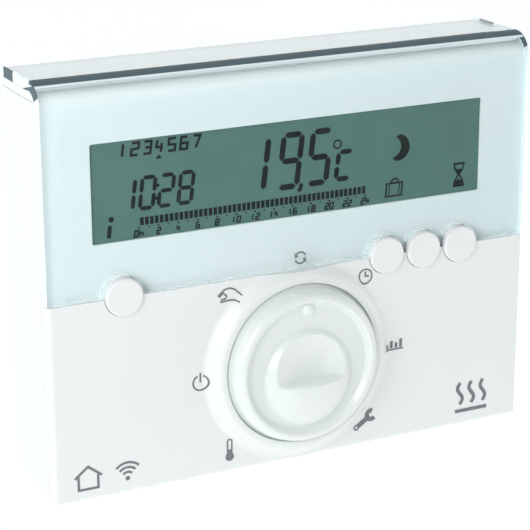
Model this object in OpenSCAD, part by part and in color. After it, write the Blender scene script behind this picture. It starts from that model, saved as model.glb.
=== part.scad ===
// Battery-powered room thermostat with a display, four keys and a selector knob, on its wall plate.
// The wall is the plane y = 0, the front faces -Y and the top is +Z. The origin is the middle of the
// back face of the wall plate. A "depth" is the distance of something from the wall, towards -Y.

/* [Case] */
// Width of the case
case_w = 135; // [125:1:175]
// Height of the case
case_h = 106.5; // [104:0.5:140]
// Depth of the case from the wall to the front face, without the knob
case_d = 27; // [26.5:0.5:36]
// Side, bottom and back wall thickness
wall = 2; // [1.6:0.1:2.4]
// Lower front wall thickness
front_wall = 2.4; // [2:0.1:2.8]
// Depth of the front band that belongs to the front shell, where the case parts
skirt = 4.1; // [3.5:0.1:5]
// Radius of the bottom corners, seen from the front
corner_r = 2; // [1:0.5:4]
// Radius of the top corners, seen from the front
top_corner_r = 0.6; // [0.4:0.1:2]
// Radius of the bottom back edge
heel_r = 9; // [5:0.5:10]
// Radius of the front edges
edge_r = 1.2; // [0.6:0.1:1.6]
// Gap between the case and the wall
wall_gap = 0.3; // [0.2:0.1:0.6]
// Gap between the front and rear shells
parting = 0.15; // [0.1:0.05:0.3]

/* [Clear cover] */
// Thickness of the clear cover
cover_t = 2.7; // [2:0.1:3.5]
// Height of the clear cover's front plate, from the top of the case
cover_drop = 54.4; // [52:0.2:58]
// Outer radius of the bend between the cover's front and top plates
bend_r = 6.8; // [6:0.2:8]
// Gap between the cover and the white shell
cover_gap = 0.1; // [0.05:0.05:0.2]
// Gap between the cover and each key
notch_gap = 0.45; // [0.3:0.05:0.8]

/* [Display] */
// Width of the display window
lcd_w = 109; // [90:0.2:110]
// Height of the display window
lcd_h = 25; // [20:0.2:26]
// Distance from the top of the case to the window
lcd_top = 16.1; // [14:0.1:18]
// White frame thickness left in front of the display
lcd_lip = 0.5; // [0.4:0.1:0.8]
// Border of the display glass behind the frame
lcd_border = 2.2; // [1.5:0.1:2.4]
// Thickness of each display glass
glass_t = 1; // [0.7:0.1:1.1]
// Thickness of the polariser film and of the reflector film
film_t = 0.2; // [0.1:0.05:0.3]
// Height of the front glass's contact ledge
ledge_h = 3; // [2.5:0.1:3.2]
// Thickness of the frame that holds the display
lcd_frame_t = 1; // [0.8:0.1:1.2]

/* [Keys] */
// Radius of a key
key_r = 4.9; // [4:0.1:5.2]
// How far a key stands out of the front face
key_out = 1; // [0.6:0.1:1.5]
// Pitch of the three right-hand keys
key_pitch = 11.05; // [10.9:0.05:13]
// Distance of the outer keys from the middle of the case
key_x = 47.7; // [44:0.1:50]
// Radial clearance of a key in its sleeve
key_gap = 0.15; // [0.1:0.05:0.3]
// Length of a key's sleeve behind the front face
key_sleeve = 4.9; // [4.5:0.1:5]
// Travel of a key
key_travel = 0.6; // [0.3:0.1:0.8]
// Side of a key switch
tact_w = 6; // [5:0.5:7]

/* [Knob] */
// Outer radius of the knob
knob_r = 21.1; // [17.5:0.1:22]
// How far the knob's front rim lies inside its outer radius
rim_inset = 2.9; // [2:0.1:4]
// How far the knob's rim stands out of the front face
knob_out = 7; // [5:0.2:8]
// Depth of the dish in the knob's face
dish = 1.5; // [0.8:0.1:2]
// How far the domed finger grip lies inside the rim
grip_inset = 5.8; // [5:0.2:8]
// Height of the grip above the dish
grip_h = 4.3; // [3:0.1:5]
// Radius of the pointer dot
dot_r = 1.5; // [1:0.1:2]
// Distance of the pointer dot from the rim
dot_inset = 2.8; // [2:0.1:4]
// Gap between the knob and its collar
knob_gap = 0.3; // [0.2:0.05:0.5]
// Width of the collar moulded round the knob
collar_w = 6.1; // [4:0.1:7]
// Height of the collar above the front face
collar_h = 3; // [2:0.1:4]
// Radius of the switch shaft
shaft_r = 3; // [2.5:0.1:3.2]
// Radial running clearance of the shaft
shaft_gap = 0.05; // [0.02:0.01:0.1]

/* [Circuit board] */
// Board thickness
pcb_t = 1.6; // [1.2:0.1:2]
// Distance of the board's back face from the front of the case
board_back = 10.2; // [10:0.1:10.3]
// Gap between the board and the shell walls
pcb_gap = 0.85; // [0.5:0.05:1.5]

/* [Battery] */
// Radius of an AA cell
cell_r = 7.25; // [7:0.05:7.25]
// Length of an AA cell with its nub
cell_l = 50.5; // [49:0.1:50.5]
// Length of a compressed battery spring
spring_l = 5.5; // [4.5:0.1:7]
// Wire radius of a battery spring
spring_wire = 0.4; // [0.3:0.05:0.5]
// Thickness of the battery contacts
contact_t = 0.4; // [0.3:0.05:0.5]
// Wall thickness of the battery compartment
bay_wall = 1.2; // [1:0.1:1.6]
// Distance from the top of the case to the compartment
bay_top = 8.85; // [8.5:0.05:9.5]
// Thickness of the battery door
door_t = 1.4; // [1.2:0.1:1.6]
// Gap round the battery door
door_gap = 0.3; // [0.2:0.05:0.5]
// Radius of the door's hinge pegs
peg_r = 0.9; // [0.7:0.05:1]

/* [Wall plate] */
// Width of the wall plate
plate_w = 100; // [90:1:104]
// Height of the wall plate
plate_h = 80; // [70:1:80]
// Thickness of the wall plate
plate_t = 1.8; // [1.5:0.1:1.8]
// Distance between the two wall screws
screw_span = 60; // [50:1:60]
// Width of a screw slot
slot_w = 4.2; // [3.5:0.1:5]
// Length of a screw slot
slot_l = 8; // [6:0.5:12]
// Lift that frees the case from the hooks
lift = 5; // [4:0.5:5]
// Distance of the hooks from the middle
hook_x = 43; // [40:0.5:44]

/* [Hidden] */
$fn = 96;
eps = 0.01;
arc_steps = 8;

half_w = case_w / 2;
top_z = case_h / 2;
bottom_z = -case_h / 2;

// Clear cover and the white wall under it
cover_z = top_z - cover_drop;
shell_bend_r = bend_r - cover_t - cover_gap;
under_cover = case_d - cover_t - cover_gap;
upper_wall = 1.8;
upper_inner = under_cover - upper_wall;
band_z = top_z - cover_t - cover_gap;
top_wall = 2.05;
split_z = band_z - top_wall;
split_depth = case_d - skirt;
lower_inner = case_d - front_wall;
shelf_gap = 0.15;
shelf_z = cover_z - shelf_gap;
shelf_t = 2;

// Display
lcd_z1 = top_z - lcd_top;
lcd_z0 = lcd_z1 - lcd_h;
glass_w = lcd_w / 2 + lcd_border;
glass_z1 = lcd_z1 + lcd_border;
rear_glass_z0 = lcd_z0 - lcd_border / 2;
glass_z0 = rear_glass_z0 - ledge_h;
pocket_gap = 0.3;
polariser_front = under_cover - lcd_lip;
front_glass_front = polariser_front - film_t;
rear_glass_front = front_glass_front - glass_t;
reflector_front = rear_glass_front - glass_t;
reflector_back = reflector_front - film_t;
lcd_frame_back = reflector_back - lcd_frame_t;
strip_h = ledge_h - 0.6;
strip_z0 = glass_z0 + 0.3;
strip_w = lcd_w / 2 - 4;

// Board
pcb_depth = case_d - board_back;
pcb_front = pcb_depth + pcb_t;
pcb_z0 = bottom_z + wall + pcb_gap;
pcb_z1 = rear_glass_z0 + 0.7;
boss_r = 3;
board_screw_r = 1.1;
board_screw_head_r = 2;
board_screw_head_t = 1.4;
board_screw_l = 6;
board_screw_x = half_w - 14;
board_screw_z = [bottom_z + 7.25, cover_z - 8.85];
pilot_gap = 0.05;

// Case screws
case_boss_r = 4.2;
case_screw_x = half_w - 6;
case_screw_z = [bottom_z + 7.75, top_z - 10.75];
case_screw_r = 1.45;
case_head_r = 2.8;
case_head_t = 1.6;
case_screw_tip = upper_inner - 0.6;
counterbore_r = 3.1;
counterbore_depth = 5.8;
case_boss_end = upper_inner - 2.3;
front_boss_r = 2.5;
pcb_half_w = case_screw_x - case_boss_r - 0.7;
screw_clear = 0.25;

// Keys
keys_right = [key_x - 2 * key_pitch, key_x - key_pitch, key_x];
key_z = cover_z;
key_front = case_d + key_out;
sleeve_t = 1.2;
sleeve_end = case_d - key_sleeve;
flange_r = key_r + 0.4;
flange_t = 0.8;
flange_front = sleeve_end - 0.3;
key_back = flange_front - flange_t;
tact_t = 1.8;
plunger_r = 1.75;
plunger_gap = 0.06;
plunger_in = 0.4;

// Knob
knob_x = 0;
collar_r = knob_r + collar_w;
knob_z = bottom_z + collar_r + 0.25;
well_floor = case_d - 1;
well_t = 1.4;
skirt_end = well_floor + 0.3;
rim_r = knob_r - rim_inset;
dot_at = rim_r - dot_inset;
rim_depth = case_d + knob_out;
shoulder_depth = case_d + collar_h - 0.1;
dish_depth = rim_depth - dish;
knob_t = 1.8;
hub_r = 5.2;
grip_r = rim_r - grip_inset;
grip_drop = 1.2;
scoop_r = grip_r - 0.8;
scoop_depth = dish_depth + scoop_r + 0.15;
scoop_z = grip_r - 5.8;
switch_r = 9;
switch_front = lower_inner - 1.2;
bushing_r = 4.8;
bushing_front = lower_inner - 0.4;
shaft_end = dish_depth - 1.1;
shaft_start = pcb_front + 1;
flat_at = 0.8 * shaft_r;

// Battery bay
bay_half_l = (cell_l + spring_l + 2 * contact_t + 0.2) / 2;
cell_gap = 0.4;
bay_z1 = top_z - bay_top;
bay_h = 4 * cell_r + 3 * cell_gap + 0.6;
bay_z0 = bay_z1 - bay_h;
door_front = plate_t + 0.5;
door_back = door_front + door_t;
cell_depth = door_back + 0.25 + cell_r;
cell_z = [bay_z0 + cell_gap + 0.3 + cell_r, bay_z0 + cell_gap * 2 + 0.3 + 3 * cell_r];
bay_floor = cell_depth + cell_r + 0.3;
bay_end = bay_floor + 1;
door_half_w = bay_half_l + 0.2;
hinge_depth = door_front + door_t / 2;
hinge_z = bay_z1 - 0.4;
knuckle_r = 1.3;
knuckle_clear = 0.3;
peg_gap = 0.06;
peg_l = 1.2;
contact_x = bay_half_l - 0.1 - contact_t;
tab_w = 3;
foot_h = 2.5;
foot_z = pcb_z1 - 4.75;
negative_tab_at = cell_depth + 2.4;
positive_tab_at = cell_depth - 2.2;

// Wall plate and hooks
floor_gap = 0.3;
back_floor = plate_t + floor_gap;
back_wall = 1.6;
back_inner = back_floor + back_wall;
plate_side_gap = 0.5;
plate_corner = 3;
notch_half = door_half_w + 3;
notch_z = bay_z0 - 2;
hook_w = 8;
hook_z = [-26.5, 25.5];
stem_h = 2.5;
lip_h = 3.5;
lip_t = 1.5;
hook_seat = 0.15;
hook_gap = 0.25;
hook_side_gap = 0.3;

function arc(x, z, r, a0, a1, steps = arc_steps) =
  [for (i = [0:steps]) let (a = a0 + (a1 - a0) * i / steps) [x + r * cos(a), z + r * sin(a)]];

// Rectangle with round corners, where the top ones may have a radius of their own
module rounded(x0, x1, z0, z1, r, top_r = 0) {
  t = top_r > 0 ? top_r : r;
  polygon(concat(arc(x1 - t, z1 - t, t, 0, 90), arc(x0 + t, z1 - t, t, 90, 180),
    arc(x0 + r, z0 + r, r, 180, 270), arc(x1 - r, z0 + r, r, 270, 360)));
}

// Extrudes an outline seen from the front between two depths
module slab(d0, d1) {
  translate([0, -d0, 0]) rotate([90, 0, 0]) linear_extrude(d1 - d0) children();
}

// Extrudes a side outline, given as depth and height, between two places along X
module beam(x0, x1) {
  translate([x0, 0, 0]) rotate([90, 0, 90]) linear_extrude(x1 - x0) mirror([1, 0]) children();
}

module block(x0, x1, d0, d1, z0, z1) {
  translate([x0, -d1, z0]) cube([x1 - x0, d1 - d0, z1 - z0]);
}

// Cylinder that points to the front
module rod(x, z, d0, d1, r) {
  translate([x, -d0, z]) rotate([90, 0, 0]) cylinder(h = d1 - d0, r = r);
}

// Turns an outline, given as radius and depth, about an axis that points to the front
module turned(x, z) {
  translate([x, 0, z]) rotate([90, 0, 0]) rotate_extrude() children();
}

// Whole case as one block, with the radii of its edges
module envelope() {
  intersection() {
    slab(wall_gap, case_d) rounded(-half_w, half_w, bottom_z, top_z, corner_r, top_corner_r);
    beam(-half_w - 1, half_w + 1) polygon(concat(
      arc(wall_gap + heel_r, bottom_z + heel_r, heel_r, 180, 270),
      arc(case_d - edge_r, bottom_z + edge_r, edge_r, 270, 360),
      arc(case_d - bend_r, top_z - bend_r, bend_r, 0, 90, 16),
      [[wall_gap, top_z]]));
    translate([0, 0, bottom_z - 1]) linear_extrude(case_h + 2) polygon(concat(
      arc(half_w - edge_r, -case_d + edge_r, edge_r, 270, 360),
      [[half_w, 0], [-half_w, 0]],
      arc(-half_w + edge_r, -case_d + edge_r, edge_r, 180, 270)));
  }
}

// Side outline of the space that the clear cover takes up, grown by g towards the white shell
module cover_side(g) {
  r = shell_bend_r + cover_gap - g;
  inner = case_d - cover_t - g;
  under = top_z - cover_t - g;
  foot = g > 0 ? shelf_z : cover_z;
  polygon(concat([[case_d + 2, foot], [inner, foot]], arc(inner - r, under - r, r, 0, 90),
    [[0, under], [0, top_z + 2], [case_d + 2, top_z + 2]]));
}

module at_keys() {
  for (x = concat([-key_x], keys_right)) translate([x, 0, 0]) children();
}

module at_case_screws() {
  for (x = [-case_screw_x, case_screw_x], z = case_screw_z) translate([x, 0, z]) children();
}

module at_board_screws() {
  for (x = [-board_screw_x, board_screw_x], z = board_screw_z) translate([x, 0, z]) children();
}

// ---- Wall plate ----

module hook(x, z) {
  stem_end = back_inner + hook_gap;
  block(x - hook_w / 2, x + hook_w / 2, plate_t - eps, stem_end + lip_t, z, z + stem_h);
  block(x - hook_w / 2, x + hook_w / 2, stem_end, stem_end + lip_t, z, z + stem_h + lip_h);
}

module screw_slot(x) {
  reach = (slot_l - slot_w) / 2;
  for (side = [-1, 1]) rod(x + side * reach, 0, -1, plate_t + 1, slot_w / 2);
  block(x - reach, x + reach, -1, plate_t + 1, -slot_w / 2, slot_w / 2);
}

module wall_plate() {
  color("gainsboro") {
    difference() {
      slab(0, plate_t) rounded(-plate_w / 2, plate_w / 2, -plate_h / 2, plate_h / 2, plate_corner);
      block(-notch_half, notch_half, -1, plate_t + 1, notch_z, plate_h / 2 + 1);
      for (x = [-screw_span / 2, screw_span / 2]) screw_slot(x);
    }
    for (x = [-hook_x, hook_x], z = hook_z) hook(x, z);
  }
}

// ---- Case ----

// Recess in the back that the wall plate sits in, with room to lift off
module plate_recess() {
  block(-plate_w / 2 - plate_side_gap, plate_w / 2 + plate_side_gap, 0, back_floor,
    -plate_h / 2 - lift - plate_side_gap, plate_h / 2 + plate_side_gap);
}

module hook_window(x, z) {
  block(x - hook_w / 2 - hook_side_gap, x + hook_w / 2 + hook_side_gap, 0, back_inner + 1,
    z - lift - hook_side_gap, z + stem_h + hook_seat);
}

module door_window() {
  half = door_half_w + door_gap;
  block(-half, half, 0, door_back + 0.1, bay_z0 - 2 * door_gap, hinge_z + knuckle_r + knuckle_clear);
  translate([-half, -hinge_depth, hinge_z]) rotate([0, 90, 0])
    cylinder(h = 2 * half, r = knuckle_r + knuckle_clear);
  translate([-half - peg_l, -hinge_depth, hinge_z]) rotate([0, 90, 0])
    cylinder(h = 2 * (half + peg_l), r = peg_r + peg_gap);
}

// Air slots in the underside, near the temperature sensor
module vents() {
  vent_w = 1.6;
  vent_pitch = 3.6;
  vent_count = 7;
  for (i = [0:vent_count - 1], side = [-1, 1])
    translate([side * (half_w - 14 - i * vent_pitch), 0, 0])
      block(-vent_w / 2, vent_w / 2, heel_r + 1.5, split_depth - 3.5, bottom_z - 1, bottom_z + wall + 1);
}

// Tongue of the rear shell that lies inside the front shell's skirt
module tongue() {
  tongue_t = 1.1;
  tongue_reach = 1.3;
  inner = half_w - wall - 0.2;
  top = shelf_z - shelf_t - 1;
  difference() {
    block(-inner, inner, split_depth - 2, split_depth + tongue_reach, bottom_z + wall + 0.2, top);
    block(-inner + tongue_t, inner - tongue_t, 0, case_d, bottom_z + wall + 0.2 + tongue_t, top + 1);
  }
  for (side = [-1, 1]) block(side > 0 ? inner - tongue_t : -half_w + wall - eps,
    side > 0 ? half_w - wall + eps : -inner + tongue_t, split_depth - 4, split_depth - parting,
    bottom_z + wall, top);
  block(-inner, inner, split_depth - 4, split_depth - parting, bottom_z + wall - eps,
    bottom_z + wall + 0.2 + tongue_t);
}

module rear_shell() {
  color("white") difference() {
    union() {
      difference() {
        intersection() {
          envelope();
          block(-half_w - 1, half_w + 1, 0, split_depth - parting, bottom_z - 1, split_z - parting);
        }
        block(-half_w + wall, half_w - wall, back_inner, case_d, bottom_z + heel_r, top_z);
        block(-half_w + wall, half_w - wall, heel_r, case_d, bottom_z + wall, top_z);
        beam(-half_w + wall, half_w - wall) polygon(concat(
          arc(wall_gap + heel_r, bottom_z + heel_r, heel_r - wall, 200, 270),
          [[heel_r + 2, bottom_z + wall], [heel_r + 2, bottom_z + heel_r + 1],
          [back_inner, bottom_z + heel_r + 1]]));
      }
      tongue();
      at_case_screws() rod(0, 0, back_floor, case_boss_end, case_boss_r);
      block(-bay_half_l - bay_wall - 0.2, bay_half_l + bay_wall + 0.2, back_floor, bay_end,
        bay_z0 - bay_wall, bay_z1 + bay_wall);
    }
    plate_recess();
    for (x = [-hook_x, hook_x], z = hook_z) hook_window(x, z);
    at_case_screws() {
      rod(0, 0, 0, counterbore_depth, counterbore_r);
      rod(0, 0, 0, case_d, case_screw_r + screw_clear);
    }
    block(-bay_half_l, bay_half_l, 0, bay_floor, bay_z0, bay_z1);
    door_window();
    block(contact_x - 0.2, bay_half_l, positive_tab_at - 0.3, bay_floor, bay_z0 - bay_wall - 1, bay_z0 + 1);
    vents();
  }
}

// Collar round the knob, rising from the front face in a smooth curve
module collar() {
  inner = knob_r + knob_gap;
  crown = inner + 1.2;
  steps = 10;
  turned(knob_x, knob_z) polygon(concat([[inner - 0.5, well_floor - well_t], [inner - 0.5, well_floor],
    [inner, well_floor], [inner, case_d + collar_h - 0.5]],
    arc(inner + 0.5, case_d + collar_h - 0.5, 0.5, 180, 90, 4),
    [for (i = [0:steps]) let (t = i / steps)
      [crown + (collar_r - crown) * t, case_d + collar_h * (0.5 + 0.5 * cos(180 * t))]],
    [[collar_r, well_floor - well_t]]));
}

module front_shell() {
  color("white") difference() {
    union() {
      difference() {
        intersection() {
          envelope();
          union() {
            block(-half_w - 1, half_w + 1, split_depth, case_d + 1, bottom_z - 1, top_z + 1);
            block(-half_w - 1, half_w + 1, 0, case_d, split_z, top_z + 1);
          }
        }
        block(-half_w + wall, half_w - wall, 0, lower_inner, bottom_z + wall, shelf_z - shelf_t);
        block(-half_w - 1, half_w + 1, 0, split_depth, bottom_z - 1, split_z);
        block(-half_w + wall, half_w - wall, 0, upper_inner, shelf_z - shelf_t - 1, split_z);
      }
      block(-half_w + wall + 0.3, half_w - wall - 0.3, upper_inner, split_depth + 1,
        shelf_z - shelf_t, split_z + eps);
      intersection() {
        collar();
        block(-half_w, half_w, 0, case_d + knob_out, bottom_z, shelf_z);
      }
      at_keys() rod(0, key_z, sleeve_end, case_d - 0.5, key_r + key_gap + sleeve_t);
      at_board_screws() rod(0, 0, pcb_front, case_d - 1, boss_r);
      for (x = [-case_screw_x, case_screw_x]) {
        translate([x, 0, case_screw_z[0]]) rod(0, 0, case_boss_end + 0.2, case_d - 1, front_boss_r);
        translate([x, 0, case_screw_z[1]]) rod(0, 0, case_boss_end + 0.2, under_cover - 1, front_boss_r);
      }
    }
    beam(-half_w - 1, half_w + 1) cover_side(cover_gap);
    slab(0, case_d) rounded(-lcd_w / 2, lcd_w / 2, lcd_z0, lcd_z1, 0.5);
    block(-glass_w - pocket_gap, glass_w + pocket_gap, 0, polariser_front,
      glass_z0 - pocket_gap, glass_z1 + pocket_gap);
    at_keys() rod(0, key_z, 0, case_d + 1, key_r + key_gap);
    rod(knob_x, knob_z, well_floor, case_d + knob_out, knob_r + knob_gap);
    rod(knob_x, knob_z, 0, case_d, bushing_r + 0.4);
    at_board_screws() rod(0, 0, 0, pcb_front + board_screw_l, board_screw_r + pilot_gap);
    for (x = [-case_screw_x, case_screw_x]) {
      translate([x, 0, case_screw_z[0]]) rod(0, 0, 0, lower_inner - 1, case_screw_r + pilot_gap);
      translate([x, 0, case_screw_z[1]]) rod(0, 0, 0, upper_inner + 0.6, case_screw_r + pilot_gap);
    }
  }
}

module clear_cover() {
  color([0.8, 0.95, 0.95, 0.35]) difference() {
    intersection() {
      envelope();
      beam(-half_w - 1, half_w + 1) cover_side(0);
    }
    at_keys() rod(0, key_z, 0, case_d + 1, key_r + notch_gap);
  }
}

// ---- Display ----

module lcd_polariser() {
  color("darkseagreen") block(-glass_w + 0.5, glass_w - 0.5, front_glass_front, polariser_front,
    rear_glass_z0 + 0.2, glass_z1 - 0.5);
}

module lcd_front_glass() {
  color([0.6, 0.75, 0.7, 0.6]) block(-glass_w, glass_w, rear_glass_front, front_glass_front,
    glass_z0, glass_z1);
}

module lcd_rear_glass() {
  color([0.6, 0.75, 0.7, 0.6]) block(-glass_w, glass_w, reflector_front, rear_glass_front,
    rear_glass_z0, glass_z1);
}

module lcd_reflector() {
  color("silver") block(-glass_w + 0.5, glass_w - 0.5, reflector_back, reflector_front,
    rear_glass_z0 + 0.5, glass_z1 - 0.5);
}

module lcd_frame() {
  frame_w = glass_w + 0.4;
  rail = 3;
  bar_z1 = rear_glass_z0 - 0.1;
  color("whitesmoke") difference() {
    union() {
      block(-frame_w, frame_w, lcd_frame_back, reflector_back, glass_z0, glass_z1 + 0.8);
      block(-frame_w, frame_w, pcb_front + 0.1, rear_glass_front - 0.1, glass_z0, bar_z1);
    }
    block(-frame_w + rail, frame_w - rail, 0, case_d, bar_z1 + 1, glass_z1 - rail);
    block(-strip_w - 0.15, strip_w + 0.15, 0, case_d, strip_z0 - 0.15, strip_z0 + strip_h + 0.15);
  }
}

module elastomer_strip() {
  color("dimgray") block(-strip_w, strip_w, pcb_front, rear_glass_front, strip_z0, strip_z0 + strip_h);
}

// ---- Board and what is on it ----

module main_board() {
  color("darkgreen") difference() {
    slab(pcb_depth, pcb_front) rounded(-pcb_half_w, pcb_half_w, pcb_z0, pcb_z1, 1);
    at_board_screws() rod(0, 0, 0, case_d, board_screw_r + screw_clear);
  }
}

module board_screws() {
  color("silver") at_board_screws() {
    rod(0, 0, pcb_depth - eps, pcb_front + board_screw_l - 0.4, board_screw_r);
    difference() {
      rod(0, 0, pcb_depth - board_screw_head_t, pcb_depth, board_screw_head_r);
      cross_recess(pcb_depth - board_screw_head_t, 2.2, 0.9);
    }
  }
}

// Cross-shaped drive in a screw head whose outer face is at depth d
module cross_recess(d, size, deep) {
  slot = size / 4;
  block(-size / 2, size / 2, d - 1, d + deep, -slot / 2, slot / 2);
  block(-slot / 2, slot / 2, d - 1, d + deep, -size / 2, size / 2);
}

module case_screws() {
  color("silver") at_case_screws() {
    rod(0, 0, counterbore_depth - eps, case_screw_tip, case_screw_r);
    difference() {
      rod(0, 0, counterbore_depth - case_head_t, counterbore_depth, case_head_r);
      cross_recess(counterbore_depth - case_head_t, 3.2, 1);
    }
  }
}

module rotary_switch() {
  color("dimgray") difference() {
    union() {
      rod(knob_x, knob_z, pcb_front, switch_front, switch_r);
      rod(knob_x, knob_z, switch_front - eps, bushing_front, bushing_r);
    }
    rod(knob_x, knob_z, shaft_start - 0.2, case_d, shaft_r + shaft_gap);
  }
}

// Round shaft with a flat along its front part, grown by g for the hole that takes it
module flatted(d0, d1, g) {
  intersection() {
    rod(knob_x, knob_z, d0, d1, shaft_r + g);
    block(knob_x - 2 * shaft_r, knob_x + 2 * shaft_r, d0, d1, knob_z - 2 * shaft_r, knob_z + flat_at + g);
  }
}

module switch_shaft() {
  color("darkgray") {
    rod(knob_x, knob_z, shaft_start, bushing_front + 0.5, shaft_r);
    flatted(bushing_front + 0.4, shaft_end, 0);
  }
}

// Outer face of the knob from its skirt to the middle of the dish, as radius and depth
function knob_face() = concat([[knob_r, skirt_end], [knob_r, shoulder_depth - 0.8]],
  [for (i = [1:8]) let (a = 90 * i / 8)
    [rim_r + (knob_r - rim_r) * cos(a), shoulder_depth - 0.8 + (rim_depth - shoulder_depth + 0.8) * sin(a)]],
  [for (i = [1:6]) let (t = i / 6)
    [rim_r - 4.2 * t, dish_depth + dish * (0.5 + 0.5 * cos(180 * t))]],
  [[0, dish_depth]]);

// Domed finger grip, with a hollow above its straight ridge
module knob_grip() {
  dome_r = (grip_r * grip_r + grip_h * grip_h) / (2 * grip_h);
  difference() {
    intersection() {
      translate([knob_x, -(dish_depth + grip_h - dome_r), knob_z - grip_drop]) sphere(dome_r);
      rod(knob_x, knob_z - grip_drop, dish_depth - 0.7, dish_depth + grip_h + 1, grip_r);
    }
    translate([knob_x - grip_r - 1, -scoop_depth, knob_z + scoop_z]) rotate([0, 90, 0])
      cylinder(h = 2 * grip_r + 2, r = scoop_r);
  }
}

module selector_knob() {
  bore_end = shaft_end + 0.2;
  inside = rim_depth - knob_t - dish;
  color("white") difference() {
    union() {
      difference() {
        turned(knob_x, knob_z) polygon(concat(knob_face(), [[0, skirt_end]]));
        turned(knob_x, knob_z) polygon([[0, 0], [knob_r - knob_t, 0], [knob_r - knob_t, shoulder_depth - 1.4],
          [rim_r - knob_t, inside], [0, inside]]);
      }
      rod(knob_x, knob_z, bushing_front + 0.6, inside + 0.5, hub_r);
      knob_grip();
      translate([knob_x, -dish_depth + dot_r * 0.45, knob_z + dot_at]) sphere(dot_r);
    }
    flatted(0, bore_end, shaft_gap);
  }
}

// ---- Keys and their switches ----

module key(x) {
  edge = 0.6;
  color("white") turned(x, key_z) polygon(concat([[0, key_back], [flange_r, key_back],
    [flange_r, flange_front], [key_r, flange_front]], arc(key_r - edge, key_front - edge, edge, 0, 90, 5),
    [[0, key_front]]));
}

module key_switch(x) {
  color("dimgray") difference() {
    block(x - tact_w / 2, x + tact_w / 2, pcb_front, pcb_front + tact_t,
      key_z - tact_w / 2, key_z + tact_w / 2);
    rod(x, key_z, pcb_front + tact_t - plunger_in - key_travel - 0.1, case_d, plunger_r + plunger_gap);
  }
}

module plunger(x) {
  color("black") rod(x, key_z, pcb_front + tact_t - plunger_in, key_back, plunger_r);
}

module left_key() key(-key_x);
module right_key_1() key(keys_right[0]);
module right_key_2() key(keys_right[1]);
module right_key_3() key(keys_right[2]);
module left_key_switch() key_switch(-key_x);
module right_key_switch_1() key_switch(keys_right[0]);
module right_key_switch_2() key_switch(keys_right[1]);
module right_key_switch_3() key_switch(keys_right[2]);
module left_plunger() plunger(-key_x);
module right_plunger_1() plunger(keys_right[0]);
module right_plunger_2() plunger(keys_right[1]);
module right_plunger_3() plunger(keys_right[2]);

// ---- Small components on the back of the board ----

module microcontroller() {
  size = 12;
  height = 1.5;
  leads = 11;
  lead_pitch = 0.9;
  lead_out = 1;
  at_x = 17;
  at_z = -20;
  color("black") translate([at_x, 0, at_z]) {
    block(-size / 2, size / 2, pcb_depth - height, pcb_depth - 0.1, -size / 2, size / 2);
    for (turn = [0:90:270], i = [0:leads - 1]) rotate([0, turn, 0])
      translate([size / 2, 0, (i - (leads - 1) / 2) * lead_pitch])
        block(-0.2, lead_out, pcb_depth - 0.6, pcb_depth, -0.2, 0.2);
  }
}

module crystal() {
  can_l = 6.5;
  can_r = 2.2;
  can_h = 3.4;
  at_x = 34;
  at_z = -16;
  color("silver") translate([at_x, 0, at_z]) {
    block(-can_l / 2, can_l / 2, pcb_depth - can_h, pcb_depth, -can_r, can_r);
    for (side = [-1, 1]) rod(side * can_l / 2, 0, pcb_depth - can_h, pcb_depth, can_r - eps);
    for (side = [-1, 1]) rod(side * can_l / 2, 0, pcb_depth - 0.5, pcb_depth, can_r + 0.4);
    block(-can_l / 2, can_l / 2, pcb_depth - 0.5, pcb_depth, -can_r - 0.4, can_r + 0.4);
  }
}

module capacitor() {
  can_r = 4;
  can_h = 9;
  color("midnightblue") turned(38, -33) polygon([[0, pcb_depth - can_h], [can_r - 0.4, pcb_depth - can_h],
    [can_r, pcb_depth - can_h + 0.4], [can_r, pcb_depth - 2.6], [can_r - 0.4, pcb_depth - 2.2],
    [can_r, pcb_depth - 1.8], [can_r, pcb_depth], [0, pcb_depth]]);
}

module chip_resistors() {
  chip_l = 2;
  chip_w = 1.25;
  chip_t = 0.5;
  color("black") for (column = [0:3], row = [0:1])
    translate([-14 + column * 3.4, 0, -12 - row * 4])
      block(-chip_l / 2, chip_l / 2, pcb_depth - chip_t, pcb_depth, -chip_w / 2, chip_w / 2);
}

module radio_board() {
  color("seagreen") block(-50, -32, pcb_depth - 1, pcb_depth, -34, -8);
}

module radio_shield() {
  can = 2.4;
  color("silver") block(-48.5, -33.5, pcb_depth - 1 - can, pcb_depth - 1, -31, -14);
}

// Quarter-wave wire that rises beside the battery bay from a blob of solder
module antenna_wire() {
  wire_r = 0.5;
  blob_r = 1.1;
  foot_x = -47;
  wire_z = -10.5;
  reach = 3;
  length = 46;
  foot = pcb_depth - 1;
  color("goldenrod") {
    rod(foot_x, wire_z, foot - 0.8, foot, blob_r);
    rod(foot_x, wire_z, foot - reach, foot - 0.5, wire_r);
    translate([foot_x, -(foot - reach), wire_z]) sphere(wire_r * 1.2);
    translate([foot_x, -(foot - reach), wire_z]) cylinder(h = length, r = wire_r);
  }
}

module temperature_sensor() {
  at_x = -half_w + 20;
  at_z = pcb_z0 + 2.5;
  leg_r = 0.3;
  bead_r = 1.4;
  leg_h = 4;
  color("darkslategray") translate([at_x, 0, at_z]) {
    for (side = [-1, 1]) rod(side * 0.8, 0, pcb_depth - leg_h, pcb_depth, leg_r);
    translate([0, -(pcb_depth - leg_h - 0.6), 0]) sphere(bead_r);
  }
}

// ---- Battery bay ----

// AA cell along X, with its nub towards +X, turned round when side is -1
module cell(z, side) {
  nub_r = 2.75;
  nub_l = 1;
  edge = 0.6;
  start = -contact_x + spring_l;
  translate([0, -cell_depth, z]) rotate([0, side > 0 ? 90 : -90, 0]) rotate_extrude()
    polygon([[0, start], [cell_r - edge, start], [cell_r, start + edge], [cell_r, start + cell_l - nub_l - edge],
      [cell_r - edge, start + cell_l - nub_l], [nub_r, start + cell_l - nub_l],
      [nub_r, start + cell_l], [0, start + cell_l]]);
}

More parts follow.
